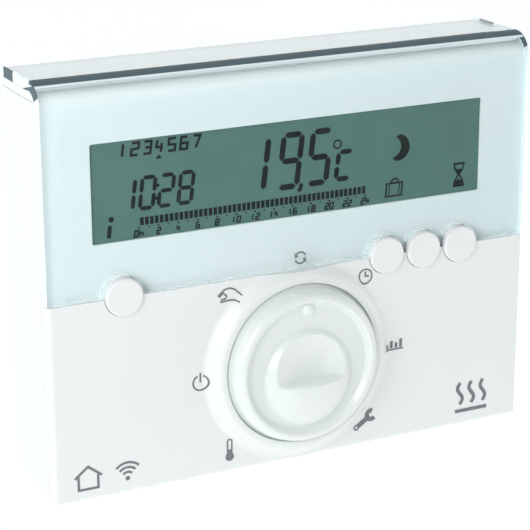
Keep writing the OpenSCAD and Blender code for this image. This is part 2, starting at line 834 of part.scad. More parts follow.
module battery_1() color("steelblue") cell(cell_z[0], 1);
module battery_2() color("steelblue") cell(cell_z[1], -1);

// Sweeps a ring of points along a conical coil whose ends lie flat
function coil_point(t, turns, r0, r1, l) =
  let (flat = 0.6, a = 360 * turns * t,
    h = l * max(0, min(1, (turns * t - flat) / (turns - 2 * flat))), r = r0 + (r1 - r0) * t)
  [r * cos(a), r * sin(a), h];

module coil(turns, r0, r1, l, wire_r) {
  sides = 8;
  rings = turns * 14;
  points = [for (i = [0:rings], j = [0:sides - 1])
    let (t = i / rings, c = coil_point(t, turns, r0, r1, l), a = 360 * turns * t, b = 360 * j / sides)
    [c[0] + wire_r * cos(b) * cos(a), c[1] + wire_r * cos(b) * sin(a), c[2] + wire_r * sin(b)]];
  faces = concat([[for (j = [sides - 1:-1:0]) j]],
    [for (i = [0:rings - 1], j = [0:sides - 1]) let (k = (j + 1) % sides)
      [i * sides + j, i * sides + k, (i + 1) * sides + k, (i + 1) * sides + j]],
    [[for (j = [0:sides - 1]) rings * sides + j]]);
  polyhedron(points, faces);
}

module spring(z, side) {
  seat = 0.02;
  color("silver") translate([-side * (contact_x - spring_wire - seat), -cell_depth, z])
    rotate([0, side > 0 ? 90 : -90, 0])
      coil(4.5, 4.6, 2.6, spring_l - 2 * spring_wire - 2 * seat, spring_wire);
}

module battery_spring_1() spring(cell_z[0], 1);
module battery_spring_2() spring(cell_z[1], -1);

module contact_plate(x0, x1, z0, z1) {
  block(x0, x1, cell_depth - 5.5, cell_depth + 5.5, z0, z1);
}

module bridge_contact() {
  color("silver") contact_plate(-contact_x - contact_t, -contact_x, cell_z[0] - 5, cell_z[1] + 5);
}

// Right-hand contact with a tab that runs down to the board
module tabbed_contact(z0, z1, tab_at) {
  x0 = contact_x;
  x1 = contact_x + contact_t;
  difference() {
    contact_plate(x0, x1, z0, z1);
    if (tab_at == positive_tab_at)
      block(x0 - 1, x1 + 1, negative_tab_at - 0.6, cell_depth + 6, z0 - 1, z1 + 1);
  }
  block(x0, x1, tab_at, tab_at + tab_w, foot_z, z0 + eps);
  block(x0, x1, tab_at, pcb_depth, foot_z, foot_z + foot_h);
}

module positive_contact() {
  color("silver") tabbed_contact(cell_z[0] - 5, cell_z[0] + 5, positive_tab_at);
}

module negative_contact() {
  color("silver") {
    contact_plate(contact_x, contact_x + contact_t, cell_z[1] - 5, cell_z[1] + 5);
    block(contact_x, contact_x + contact_t, negative_tab_at, min(pcb_depth, bay_floor),
      foot_z + foot_h + 1, cell_z[1] - 5 + eps);
    block(contact_x, contact_x + contact_t, negative_tab_at, pcb_depth, foot_z + foot_h + 1, pcb_z1);
  }
}

module battery_door() {
  thumb_r = 5;
  color("gainsboro") difference() {
    union() {
      block(-door_half_w, door_half_w, door_front, door_back, bay_z0 - door_gap, hinge_z);
      translate([-door_half_w, -hinge_depth, hinge_z]) rotate([0, 90, 0])
        cylinder(h = 2 * door_half_w, r = knuckle_r);
      translate([-door_half_w - peg_l, -hinge_depth, hinge_z]) rotate([0, 90, 0])
        cylinder(h = 2 * (door_half_w + peg_l), r = peg_r);
    }
    rod(0, bay_z0 - door_gap, door_front - 1, door_front + 0.6, thumb_r);
  }
}

wall_plate();
rear_shell();
front_shell();
clear_cover();
lcd_frame();
lcd_polariser();
lcd_front_glass();
lcd_rear_glass();
lcd_reflector();
elastomer_strip();
main_board();
board_screws();
case_screws();
rotary_switch();
switch_shaft();
selector_knob();
left_key();
right_key_1();
right_key_2();
right_key_3();
left_key_switch();
right_key_switch_1();
right_key_switch_2();
right_key_switch_3();
left_plunger();
right_plunger_1();
right_plunger_2();
right_plunger_3();
microcontroller();
crystal();
capacitor();
chip_resistors();
radio_board();
radio_shield();
antenna_wire();
temperature_sensor();
battery_1();
battery_2();
battery_spring_1();
battery_spring_2();
bridge_contact();
positive_contact();
negative_contact();
battery_door();
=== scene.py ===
"""Room thermostat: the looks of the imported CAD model, its display, its printed symbols, the lights
and the camera. The object's sizes are in millimetres here and are turned into metres by MM. Those of
the studio are in metres."""

import math

import bmesh
import bpy
from mathutils import Matrix, Vector


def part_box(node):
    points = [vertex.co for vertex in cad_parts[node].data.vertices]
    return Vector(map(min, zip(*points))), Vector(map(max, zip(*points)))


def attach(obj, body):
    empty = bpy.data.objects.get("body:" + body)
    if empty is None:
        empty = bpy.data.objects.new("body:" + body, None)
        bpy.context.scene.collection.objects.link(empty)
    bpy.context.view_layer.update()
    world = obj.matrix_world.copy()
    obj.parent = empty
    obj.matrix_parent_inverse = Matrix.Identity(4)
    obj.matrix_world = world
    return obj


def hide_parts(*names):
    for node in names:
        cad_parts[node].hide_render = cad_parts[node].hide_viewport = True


MM = 0.001
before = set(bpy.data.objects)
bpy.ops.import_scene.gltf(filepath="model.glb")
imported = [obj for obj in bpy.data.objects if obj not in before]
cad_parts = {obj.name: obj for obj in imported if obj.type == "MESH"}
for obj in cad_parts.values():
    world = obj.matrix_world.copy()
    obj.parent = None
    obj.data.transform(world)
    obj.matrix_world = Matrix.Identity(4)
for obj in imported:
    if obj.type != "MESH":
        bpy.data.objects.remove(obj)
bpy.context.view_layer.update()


# ---- Places, all taken from the CAD ----


class Place:
    """The box of a CAD node in millimetres. Depth is the distance from the wall, towards -Y."""

    def __init__(self, node):
        low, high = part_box(node)
        self.x0, self.x1 = low.x / MM, high.x / MM
        self.z0, self.z1 = low.z / MM, high.z / MM
        self.back, self.front = -high.y / MM, -low.y / MM
        self.x, self.z = (self.x0 + self.x1) / 2, (self.z0 + self.z1) / 2


CASE = Place("rear_shell")
SHELL = Place("front_shell")
COVER = Place("clear_cover")
KNOB = Place("selector_knob")
DISPLAY = Place("lcd_polariser")
FACE = COVER.front


# ---- Small helpers for meshes ----


def new_object(name, mesh_builder, material, body):
    """A mesh object made from a bmesh, with its material, body and finish."""
    mesh = bpy.data.meshes.new(name)
    mesh_builder.to_mesh(mesh)
    mesh_builder.free()
    mesh.materials.append(material)
    piece = bpy.data.objects.new(name, mesh)
    bpy.context.scene.collection.objects.link(piece)
    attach(piece, body)
    return piece


def place_on(x, z, radius, degrees):
    """The point of a circle at an angle."""
    angle = math.radians(degrees)
    return x + radius * math.cos(angle), z + radius * math.sin(angle)


def arc(x, z, radius, start, end, steps):
    """Points of an arc, with angles in degrees."""
    return [place_on(x, z, radius, start + (end - start) * i / steps) for i in range(steps + 1)]


def circle(x, z, radius, corners):
    """The corners of a circle, for a closed outline."""
    return arc(x, z, radius, 0, 360 - 360 / corners, corners - 1)


LIFT = 0.04
THICKNESS = 0.03
LAYERS = 5
LAYER_STEP = 0.004
DISC_CORNERS = 24
RING_CORNERS = 48
SHARPEST_MITRE = 0.5
STRETCH = 0.45
UNCUT = 9


class Print:
    """Thin shapes printed on a surface. depth_at(x, z) gives the surface's depth. The shapes stand
    LIFT above it, and lines are cut into stretches of at most STRETCH, or not at all with UNCUT."""

    def __init__(self, depth_at):
        self.depth_at = depth_at
        self.mesh = bmesh.new()
        self.count = 0

    def vertices(self, points):
        """Front and back vertices over each point. Crossing strokes differ a little in thickness."""
        thickness = THICKNESS + LAYER_STEP * (self.count % LAYERS)
        front, back = [], []
        for x, z in points:
            depth = self.depth_at(x, z)
            front.append(self.mesh.verts.new((x * MM, -(depth + LIFT + thickness) * MM, z * MM)))
            back.append(self.mesh.verts.new((x * MM, -(depth + LIFT) * MM, z * MM)))
        return front, back

    def fill(self, points):
        """A filled outline, given anticlockwise."""
        self.count += 1
        front, back = self.vertices(points)
        self.mesh.faces.new(front)
        self.mesh.faces.new(back[::-1])
        for i in range(len(points)):
            j = (i + 1) % len(points)
            self.mesh.faces.new((front[j], front[i], back[i], back[j]))

    def line(self, points, width, closed=False, step=STRETCH):
        """A line of even width with mitred corners, cut into short stretches to follow the surface."""
        self.count += 1
        path = resample(points, step, closed)
        count = len(path)
        sides = ([], [])
        for i, (x, z) in enumerate(path):
            before = path[i - 1] if closed or i > 0 else path[0]
            after = path[(i + 1) % count] if closed or i < count - 1 else path[-1]
            here = Vector((x, z))
            coming = (here - Vector(before)).normalized() if Vector(before) != here else None
            going = (Vector(after) - here).normalized() if Vector(after) != here else None
            coming, going = coming or going, going or coming
            across = (coming + going).orthogonal().normalized()
            reach = width / 2 / max(SHARPEST_MITRE, abs(across.dot(coming.orthogonal())))
            sides[0].append(tuple(here + across * reach))
            sides[1].append(tuple(here - across * reach))
        left, left_back = self.vertices(sides[0])
        right, right_back = self.vertices(sides[1])
        for i in range(count if closed else count - 1):
            j = (i + 1) % count
            self.mesh.faces.new((left[i], left[j], right[j], right[i]))
            self.mesh.faces.new((right_back[i], right_back[j], left_back[j], left_back[i]))
            self.mesh.faces.new((left[j], left[i], left_back[i], left_back[j]))
            self.mesh.faces.new((right[i], right[j], right_back[j], right_back[i]))
        if not closed:
            self.mesh.faces.new((left[0], right[0], right_back[0], left_back[0]))
            self.mesh.faces.new((right[-1], left[-1], left_back[-1], right_back[-1]))

    def disc(self, x, z, radius):
        self.fill(circle(x, z, radius, DISC_CORNERS))

    def ring(self, x, z, radius, width):
        self.line(circle(x, z, radius, RING_CORNERS), width, closed=True, step=UNCUT)

    def finish(self, name, material, body):
        bmesh.ops.recalc_face_normals(self.mesh, faces=self.mesh.faces)
        new_object(name, self.mesh, material, body)


def resample(points, step, closed=False):
    """Adds points along each straight stretch so that none is longer than step."""
    ends = points + [points[0]] if closed else points
    out = []
    for (x0, z0), (x1, z1) in zip(ends, ends[1:]):
        parts = max(1, math.ceil(math.hypot(x1 - x0, z1 - z0) / step))
        out += [(x0 + (x1 - x0) * i / parts, z0 + (z1 - z0) * i / parts) for i in range(parts)]
    return out if closed else out + [ends[-1]]


# ---- Materials ----

BEVEL_SAMPLES = 4


class Nodes:
    """A Principled material, with its constant inputs, and short ways to add nodes to it."""

    def __init__(self, name, **inputs):
        self.material = bpy.data.materials.new(name)
        self.material.use_nodes = True
        self.tree = self.material.node_tree
        self.shader = self.tree.nodes["Principled BSDF"]
        for key, value in inputs.items():
            self.shader.inputs[key.replace("_", " ")].default_value = value
        self.where = self.tree.nodes.new("ShaderNodeTexCoord").outputs["Object"]

    def add(self, kind, links=None, **settings):
        node = self.tree.nodes.new("ShaderNode" + kind)
        for key, value in settings.items():
            setattr(node, key, value)
        for socket, source in (links or {}).items():
            if isinstance(source, bpy.types.NodeSocket):
                self.tree.links.new(source, node.inputs[socket])
            else:
                node.inputs[socket].default_value = source
        return node

    def noise(self, size, detail=3.0, stretch=(1, 1, 1)):
        """Noise whose features are about size millimetres across."""
        mapping = self.add("Mapping", {"Vector": self.where, "Scale": stretch})
        links = {"Vector": mapping.outputs["Vector"], "Scale": 1 / (size * MM), "Detail": detail}
        return self.add("TexNoise", links).outputs["Fac"]

    def between(self, value, low, high, start=0.35, end=0.65):
        """Turns a value from start to end into one from low to high."""
        links = {"Value": value, "From Min": start, "From Max": end, "To Min": low, "To Max": high}
        return self.add("MapRange", links).outputs["Result"]

    def mix(self, factor, first, second):
        """Colour mix, where each colour is a tuple or a socket."""
        node = self.add("Mix", data_type="RGBA")
        for index, source in ((0, factor), (6, first), (7, second)):
            if isinstance(source, bpy.types.NodeSocket):
                self.tree.links.new(source, node.inputs[index])
            else:
                node.inputs[index].default_value = source
        return node.outputs[2]

    def edges(self, radius):
        """1 near the edges of the shape and 0 on its faces."""
        sides = {0: self.rounded(radius), 1: self.add("NewGeometry").outputs["Normal"]}
        dot = self.add("VectorMath", sides, operation="DOT_PRODUCT")
        return self.between(dot.outputs["Value"], 1.0, 0.0, 0.8, 0.99)

    def rounded(self, radius):
        """The surface's direction with its edges rounded by a radius in millimetres."""
        return self.add("Bevel", {"Radius": radius * MM}, samples=BEVEL_SAMPLES).outputs["Normal"]

    def axis(self, index):
        """The place along X (0), Y (1) or Z (2), in metres."""
        return self.add("SeparateXYZ", {"Vector": self.where}).outputs[index]

    def math(self, operation, *values):
        return self.add("Math", dict(enumerate(values)), operation=operation).outputs[0]

    def above(self, value, limit):
        """1 where a length is more than limit millimetres, otherwise 0."""
        return self.math("GREATER_THAN", value, limit * MM)

    def below(self, value, limit):
        """1 where a length is less than limit millimetres, otherwise 0."""
        return self.math("LESS_THAN", value, limit * MM)

    def away(self, value, centre):
        """How far a place is from a centre in millimetres, in metres."""
        return self.math("ABSOLUTE", self.math("SUBTRACT", value, centre * MM))

    def both(self, first, second):
        return self.math("MULTIPLY", first, second)

    def either(self, first, second):
        return self.math("MAXIMUM", first, second)

    def set(self, socket, source):
        self.tree.links.new(source, self.shader.inputs[socket])

    def bump(self, height, depth, strength=1.0, radius=None):
        """Bump of the given depth in millimetres, with rounded edges where radius is given."""
        links = {"Height": height, "Distance": depth * MM, "Strength": strength}
        if radius:
            links["Normal"] = self.rounded(radius)
        self.set("Normal", self.add("Bump", links).outputs["Normal"])


def linear(value):
    """A value from 0 to 255 by the sRGB rule as a linear one from 0 to 1."""
    value = value / 255
    return value / 12.92 if value <= 0.04045 else ((value + 0.055) / 1.055) ** 2.4


def colour(red, green, blue):
    """An sRGB colour from 0 to 255 as a linear RGBA tuple."""
    return (linear(red), linear(green), linear(blue), 1.0)


def shaded(shade, factor):
    """The same colour, darker or lighter."""
    return tuple(min(1, c * factor) for c in shade[:3]) + (1.0,)


PLASTIC_IOR = 1.5
EDGE_RADIUS = 0.18
PARTING = 0.2


def moulded(name, shade, roughness, grain=0.35, depth=0.004, coat=0.0, covered=None):
    """Moulded plastic: slight mottling, uneven gloss, a fine orange-peel surface and slightly lighter
    edges.
    covered is the colour of the front where it lies behind the clear cover, from PARTING behind the
    rear shell's
    front edge: painted shade for the light that the cover holds back."""
    m = Nodes(name, IOR=PLASTIC_IOR, Coat_Weight=coat, Coat_Roughness=0.08)
    mottle = m.between(m.noise(30, 2), 0.0, 1.0, 0.3, 0.7)
    base = m.mix(mottle, shade, shaded(shade, 0.99))
    if covered:
        # Painted shade: the plastic behind the clear cover takes the covered colour.
        painted_shade_behind_cover = m.both(m.above(m.axis(2), COVER.z0), m.below(m.axis(1), -(CASE.front - PARTING)))
        base = m.mix(painted_shade_behind_cover, base, m.mix(mottle, covered, shaded(covered, 0.99)))
    m.set("Base Color", m.mix(m.edges(EDGE_RADIUS), base, shaded(shade, 1.04)))
    m.set("Roughness", m.between(m.noise(5, 3), roughness * 0.94, roughness * 1.06, 0.3, 0.7))
    m.bump(m.noise(grain, 2), depth, 0.4, radius=EDGE_RADIUS)
    return m.material


def metal(name, shade, roughness=0.28, brushed=(1, 1, 12), grain=0.5):
    """Plated metal with stains and brighter edges, whose drawn scratches are finest along the axis
    with the highest number in brushed."""
    m = Nodes(name, Metallic=1.0)
    stains = m.between(m.noise(2.5, 5), 0.0, 1.0)
    base = m.mix(stains, shade, shaded(shade, 0.8))
    m.set("Base Color", m.mix(m.edges(0.1), base, shaded(shade, 1.2)))
    m.set("Roughness", m.between(m.noise(grain, 4, brushed), roughness * 0.7, roughness * 1.4))
    m.bump(m.noise(grain, 3, brushed), 0.003, 0.5, radius=0.08)
    return m.material


# The clear cover's bend, and the places on it where shade and highlights are painted: heights and drops
# are measured down from its top, backs and fronts from the wall.
BEND_R = 6.8
BEND_INNER = 4.3
BEND_Y = -(FACE - BEND_R)
BEND_Z = COVER.z1 - BEND_R
TURN_SLOPE = 0.6
PAINTED_SHADE_HEIGHT = 0.95
PAINTED_HIGHLIGHT_HEIGHT = 1.4
END_SKIN = 0.25
SHADE_BAND_LOW, SHADE_BAND_HIGH = 6.2, 3.0
BRACKET_SLOPE = 0.26
BRACKET_DROP = 6.95
BRACKET_BACK = 15.6
PATCH_BACK, PATCH_FRONT = 2.6, 9.4


def length_of(m, across, up):
    """The length of a slanting line from its two sides."""
    squares = (m.math("MULTIPLY", side, side) for side in (across, up))
    return m.math("SQRT", m.math("ADD", *squares))


def dark_ends(m, y, z):
    """1 where painted shade goes on the cover's sawn ends: a bracket in the bend and a patch towards
    the wall.
    """
    from_y = m.math("SUBTRACT", y, BEND_Y * MM)
    from_z = m.math("SUBTRACT", z, BEND_Z * MM)
    turned = m.above(m.math("ADD", from_z, m.math("MULTIPLY", from_y, TURN_SLOPE)), 0)
    bent = m.both(m.above(length_of(m, from_y, from_z), BEND_INNER), turned)
    slope = m.math("ADD", z, m.math("MULTIPLY", y, BRACKET_SLOPE))
    low = m.below(slope, COVER.z1 - BRACKET_DROP)
    bracket = m.both(m.both(bent, low), m.below(y, -BRACKET_BACK))
    patch = m.both(m.above(y, -PATCH_FRONT), m.below(y, -PATCH_BACK))
    return m.either(bracket, patch)


def clear_acrylic():
    """Clear acrylic with slight flow lines and micro-scratches. Painted shade darkens a strip along its
    top and parts of its sawn ends, for light that enters there and never comes out to the front, and a
    greyer band down the front of its bend. A painted highlight lights a line under the strip and the
    rest of the sawn ends."""
    m = Nodes("clear_acrylic", IOR=1.2)
    flow = m.between(m.noise(22, 2, (0.4, 1, 1)), 0, 1)
    tint = m.mix(flow, (0.965, 0.995, 1.0, 1), (0.955, 0.992, 0.998, 1))
    x, y, z = (m.axis(index) for index in range(3))
    before_bend = m.below(y, BEND_Y - 0.5)
    # Painted shade: a dark strip along the top, in front of the bend.
    painted_shade_strip = m.both(before_bend, m.above(z, COVER.z1 - PAINTED_SHADE_HEIGHT))
    # Painted highlight: a pale opaque line just below the strip.
    painted_highlight_line = m.both(before_bend, m.above(z, COVER.z1 - PAINTED_HIGHLIGHT_HEIGHT))
    # The sawn ends are opaque, with a painted highlight colour and painted shade in a bracket and a
    # patch.
    ends = m.above(m.away(x, 0), COVER.x1 - END_SKIN)
    # Where painted shade goes: the strip and the dark places on the sawn ends.
    dark = m.either(m.both(ends, dark_ends(m, y, z)), painted_shade_strip)
    opaque = m.either(ends, m.either(painted_shade_strip, painted_highlight_line))
    # Painted shade: a greyer band down the front of the bend.
    painted_shade_band = m.between(z, 0.0, 1.0, (COVER.z1 - SHADE_BAND_LOW) * MM, (COVER.z1 - SHADE_BAND_HIGH) * MM)
    tint_with_painted_shade = m.mix(m.both(painted_shade_band, m.below(y, BEND_Y)), tint, (0.89, 0.94, 0.955, 1))
    # Painted highlight colour on the sawn ends and on the line under the strip.
    tint_and_painted_light = m.mix(m.either(ends, painted_highlight_line), tint_with_painted_shade, colour(228, 242, 245))
    scratches = m.between(m.noise(1.2, 5), 0.0, 0.012)
    # The painted shade is dark grey-blue and covers the painted highlights and the tint.
    m.set("Base Color", m.mix(dark, tint_and_painted_light, colour(86, 103, 109)))
    m.set("Transmission Weight", m.math("SUBTRACT", 1.0, opaque))
    m.set("Roughness", m.math("ADD", scratches, m.math("MULTIPLY", opaque, 0.4)))
    m.bump(m.noise(6, 2), 0.0005, 0.3)
    return m.material


def display_film():
    """The display's grey-green film with a fine grain."""
    m = Nodes("display_film", IOR=1.45)
    clouds = m.between(m.noise(9, 3), 0, 1)
    tone = m.mix(clouds, colour(85, 119, 112), colour(81, 115, 108))
    grain = m.between(m.noise(0.28, 2), 0.0, 0.22, 0.3, 0.7)
    m.set("Base Color", m.mix(grain, tone, colour(98, 132, 124)))
    m.set("Roughness", m.between(m.noise(1.5, 4), 0.42, 0.55))
    m.bump(m.noise(0.4, 2), 0.003, 0.5)
    return m.material


def glass():
    """The display's glass, with a faint green tint."""
    m = Nodes("display_glass", IOR=1.52, Transmission_Weight=1.0)
    clouds = m.between(m.noise(12), 0, 1)
    m.set("Base Color", m.mix(clouds, (0.9, 0.96, 0.93, 1), (0.88, 0.95, 0.92, 1)))
    m.set("Roughness", m.between(m.noise(2, 4), 0.0, 0.02))
    m.bump(m.noise(8, 2), 0.001, 0.3)
    return m.material


def ink(name, shade, roughness=0.5):
    """Printed ink or a display segment, slightly uneven."""
    m = Nodes(name)
    m.set("Base Color", m.mix(m.between(m.noise(0.5, 4), 0, 1), shade, shaded(shade, 1.12)))
    m.set("Roughness", m.between(m.noise(0.4, 3), roughness * 0.85, roughness * 1.15))
    m.bump(m.noise(0.12, 2), 0.002, 0.4)
    return m.material


def circuit_board(name, mask, copper):
    """Solder mask over tracks, with drilled-looking dots."""
    m = Nodes(name, IOR=PLASTIC_IOR)
    mask_share, track_share = (1, 1, 1, 1), (0, 0, 0, 1)
    layout = {"Vector": m.where, "Scale": 160.0, "Mortar Size": 0.06}
    layout.update({"Color1": mask_share, "Color2": mask_share, "Mortar": track_share})
    tracks = m.add("TexBrick", layout, offset=0.37)
    dots = m.add("TexVoronoi", {"Vector": m.where, "Scale": 260.0})
    via = m.between(dots.outputs["Distance"], 1.0, 0.0, 0.12, 0.16)
    covered = m.add("RGBToBW", {"Color": tracks.outputs["Color"]}).outputs["Val"]
    m.set("Base Color", m.mix(via, m.mix(covered, copper, mask), colour(206, 204, 196)))
    m.set("Roughness", m.between(m.noise(1.5, 4), 0.25, 0.45))
    m.bump(tracks.outputs["Fac"], 0.02, 0.5, radius=0.1)
    return m.material


LEAD_REACH = 1.0


def chip():
    """Epoxy package with tinned leads round its sides."""
    m = Nodes("chip_epoxy", IOR=PLASTIC_IOR)
    size = Place("microcontroller")
    package = (size.x1 - size.x0) / 2 - LEAD_REACH
    lead = m.above(m.either(m.away(m.axis(0), size.x), m.away(m.axis(2), size.z)), package)
    m.set("Base Color", m.mix(lead, colour(34, 35, 37), colour(196, 198, 200)))
    m.set("Metallic", lead)
    m.set("Roughness", m.between(m.noise(0.3, 4), 0.35, 0.6))
    m.bump(m.noise(0.15, 3), 0.01, 0.6, radius=0.1)
    return m.material


BARE_METAL = (200, 200, 198)


def battery_sleeve(node, flip):
    """Printed shrink sleeve in two plain colours, with bare metal at the ends."""
    m = Nodes(node + "_sleeve", IOR=PLASTIC_IOR, Metallic=0.35)
    size = Place(node)
    length = (size.x1 - size.x0) * MM
    share = m.math("DIVIDE", m.away(m.axis(0), size.x1 if flip else size.x0), length)
    ramp = m.add("ValToRGB", {"Fac": share})
    stops = ramp.color_ramp.elements
    ramp.color_ramp.interpolation = "CONSTANT"
    for position, shade in ((0.012, colour(52, 74, 104)), (0.72, colour(206, 150, 78))):
        stops.new(position).color = shade
    stops[0].color = stops[-1].color = colour(*BARE_METAL)
    stops[-1].position = 0.965
    scuffs = m.between(m.noise(1.2, 6, (0.3, 1, 1)), 0.0, 0.25, 0.55, 0.75)
    m.set("Base Color", m.mix(scuffs, ramp.outputs["Color"], colour(180, 180, 178)))
    m.set("Roughness", m.between(m.noise(2, 4), 0.22, 0.38))
    m.bump(m.noise(0.8, 3), 0.006, 0.5, radius=0.15)
    return m.material


def capacitor_sleeve():
    """Dark shrink sleeve with one pale stripe down its side."""
    m = Nodes("capacitor_sleeve", IOR=PLASTIC_IOR)
    stripe = m.above(m.axis(0), Place("capacitor").x1 - 0.9)
    m.set("Base Color", m.mix(stripe, colour(30, 40, 74), colour(196, 200, 206)))
    m.set("Roughness", m.between(m.noise(1, 4), 0.25, 0.4))
    m.bump(m.noise(0.6, 3), 0.01, 0.5, radius=0.12)
    return m.material


CHIP_LENGTH = 2.0
CHIP_GAPS = 3


def resistor():
    """Four ceramic chips in a row, with tinned ends."""
    m = Nodes("chip_ceramic", IOR=PLASTIC_IOR)
    size = Place("chip_resistors")
    pitch = (size.x1 - size.x0 - CHIP_LENGTH) / CHIP_GAPS
    first = (size.x0 + CHIP_LENGTH / 2 - pitch / 2) * MM
    along = m.math("FLOORED_MODULO", m.math("SUBTRACT", m.axis(0), first), pitch * MM)
    end = m.above(m.away(along, pitch / 2), 0.62)
    m.set("Base Color", m.mix(end, colour(36, 36, 38), colour(200, 201, 202)))
    m.set("Metallic", end)
    m.set("Roughness", m.between(m.noise(0.3, 4), 0.3, 0.5))
    m.bump(m.noise(0.2, 3), 0.008, 0.5, radius=0.08)
    return m.material


# ---- Finishes of the CAD nodes ----

# The white behind the cover is painted shade: a slightly darker, bluer copy of the same white.
white = moulded("white_abs", colour(231, 236, 235), 0.32, coat=0.15, covered=colour(224, 234, 235))
# The knob's white is the case's plastic a little darker: painted shade for its recessed dish.
knob_white_with_painted_shade = moulded("knob_abs", colour(228, 234, 233), 0.26, coat=0.3)
key_white = moulded("key_abs", colour(232, 235, 235), 0.4)
plate_white = moulded("plate_abs", colour(232, 236, 236), 0.46, grain=0.6, depth=0.012)
frame_white = moulded("frame_abs", colour(238, 240, 240), 0.4)
black = moulded("black_plastic", colour(40, 41, 44), 0.42)
dark = moulded("sensor_epoxy", colour(44, 52, 54), 0.3)
rubber = moulded("conductive_rubber", colour(56, 57, 60), 0.62, grain=0.2, depth=0.02)
nylon = moulded("shaft_nylon", colour(205, 206, 204), 0.38)
steel = metal("plated_steel", colour(214, 214, 210))
shield = metal("tinned_shield", colour(206, 209, 210), 0.34, (1, 1, 1), 1.5)
brass = metal("brass_wire", colour(214, 178, 96), 0.3)
mirror = metal("reflector_foil", colour(206, 212, 208), 0.4, (8, 1, 1), 0.3)
acrylic = clear_acrylic()
film = display_film()
clear_glass = glass()
green_board = circuit_board("main_board_mask", colour(22, 84, 52), colour(46, 112, 74))
radio_green = circuit_board("radio_board_mask", colour(26, 92, 66), colour(54, 122, 88))


def numbered(name, count):
    """A node's names with _1, _2 and so on."""
    return [f"{name}_{i + 1}" for i in range(count)]


FINISHES = {
    white: ["front_shell", "rear_shell"],
    knob_white_with_painted_shade: ["selector_knob"],
    key_white: ["left_key", *numbered("right_key", 3)],
    plate_white: ["wall_plate", "battery_door"],
    frame_white: ["lcd_frame"],
    black: ["rotary_switch", "left_key_switch", *numbered("right_key_switch", 3),
            "left_plunger", *numbered("right_plunger", 3)],
    dark: ["temperature_sensor"],
    rubber: ["elastomer_strip"],
    nylon: ["switch_shaft"],
    steel: ["board_screws", "case_screws", *numbered("battery_spring", 2), "bridge_contact",
            "positive_contact", "negative_contact", "crystal"],
    shield: ["radio_shield"],
    brass: ["antenna_wire"],
    mirror: ["lcd_reflector"],
    acrylic: ["clear_cover"],
    film: ["lcd_polariser"],
    clear_glass: ["lcd_front_glass", "lcd_rear_glass"],
    green_board: ["main_board"],
    radio_green: ["radio_board"],
    chip(): ["microcontroller"],
    battery_sleeve("battery_1", False): ["battery_1"],
    battery_sleeve("battery_2", True): ["battery_2"],
    capacitor_sleeve(): ["capacitor"],
    resistor(): ["chip_resistors"],
}

# The clear pieces cast no shadow, so that daylight reaches what lies behind them.
for clear_piece in ("clear_cover", "lcd_front_glass"):
    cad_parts[clear_piece].visible_shadow = False

for finish_material, members in FINISHES.items():
    for member in members:
        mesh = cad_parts[member].data
        if not mesh.materials:
            mesh.materials.append(finish_material)
        for index in range(len(mesh.materials)):
            mesh.materials[index] = finish_material


# ---- Display ----

SLANT = 0.13

# The strokes of each character, in a box one wide and one high.
GLYPHS = {
    "0": [[(0, 0), (0, 1), (1, 1), (1, 0), (0, 0)]],
    "1": [[(0.5, 0), (0.5, 1)]],
    "2": [[(0, 1), (1, 1), (1, 0.52), (0, 0.48), (0, 0), (1, 0)]],
    "3": [[(0, 1), (1, 1), (1, 0), (0, 0)], [(0.2, 0.5), (1, 0.5)]],
    "4": [[(0.1, 1), (0, 0.42), (1, 0.42)], [(0.75, 0.75), (0.75, 0)]],
    "5": [[(1, 1), (0, 1), (0, 0.52), (1, 0.48), (1, 0), (0, 0)]],
    "6": [[(0.9, 1), (0, 1), (0, 0), (1, 0), (1, 0.5), (0, 0.5)]],
    "7": [[(0, 1), (1, 1), (0.5, 0)]],
    "8": [[(0, 0), (0, 1), (1, 1), (1, 0), (0, 0)], [(0, 0.5), (1, 0.5)]],
    "h": [[(0, 0), (0, 1)], [(0, 0.5), (1, 0.5), (1, 0)]],
}


def write(sheet, text, x, z, size, pitch, stroke):
    """Plain slanting characters, drawn as lines, with their lower left corner at x, z."""
    width, height = size
    for i, glyph in enumerate(text):
        left = x + i * pitch
        for line in GLYPHS[glyph]:
            points = [(left + u * width + v * height * SLANT, z + v * height) for u, v in line]
            closed = line[0] == line[-1]
            sheet.line(points[:-1] if closed else points, stroke, closed)


# The ends of each segment of a digit, and the segments that are dark for each character.
SEGMENTS = {
    "a": ((0, 1), (1, 1)), "b": ((1, 1), (1, 0.5)), "c": ((1, 0.5), (1, 0)), "d": ((0, 0), (1, 0)),
    "e": ((0, 0), (0, 0.5)), "f": ((0, 0.5), (0, 1)), "g": ((0, 0.5), (1, 0.5)),
}
LIT = {"0": "abcdef", "1": "bc", "2": "abged", "5": "afgcd", "8": "abcdefg", "9": "abcdfg", "c": "afed"}
SEGMENT_GAP = 0.12


def lit_digit(sheet, digit, x, z, size, stroke):
    """A seven-segment digit with pointed, separate segments."""
    width, height = size
    gap = stroke * SEGMENT_GAP
    for name in LIT[digit]:
        start, end = (Vector((x + u * width + v * height * SLANT, z + v * height))
                      for u, v in SEGMENTS[name])
        along = (end - start).normalized()
        across = Vector((-along.y, along.x)) * stroke / 2
        start += along * gap
        end -= along * gap
        tip = along * stroke / 2
        lower = [start + tip - across, end - tip - across]
        upper = [end - tip + across, start + tip + across]
        sheet.fill([tuple(corner) for corner in (start, *lower, end, *upper)])


def on_display(x, z):
    """Moves a place seen through the cover to the display's own plane."""
    return 1.0059 * x + 1.36, 1.0059 * z - 1.0


def place_digits(sheet, digits, lefts, z, size, stroke):
    """Seven-segment digits with their lower left corners at the given places."""
    for digit, left in zip(digits, lefts):
        lit_digit(sheet, digit, *on_display(left, z), size, stroke)


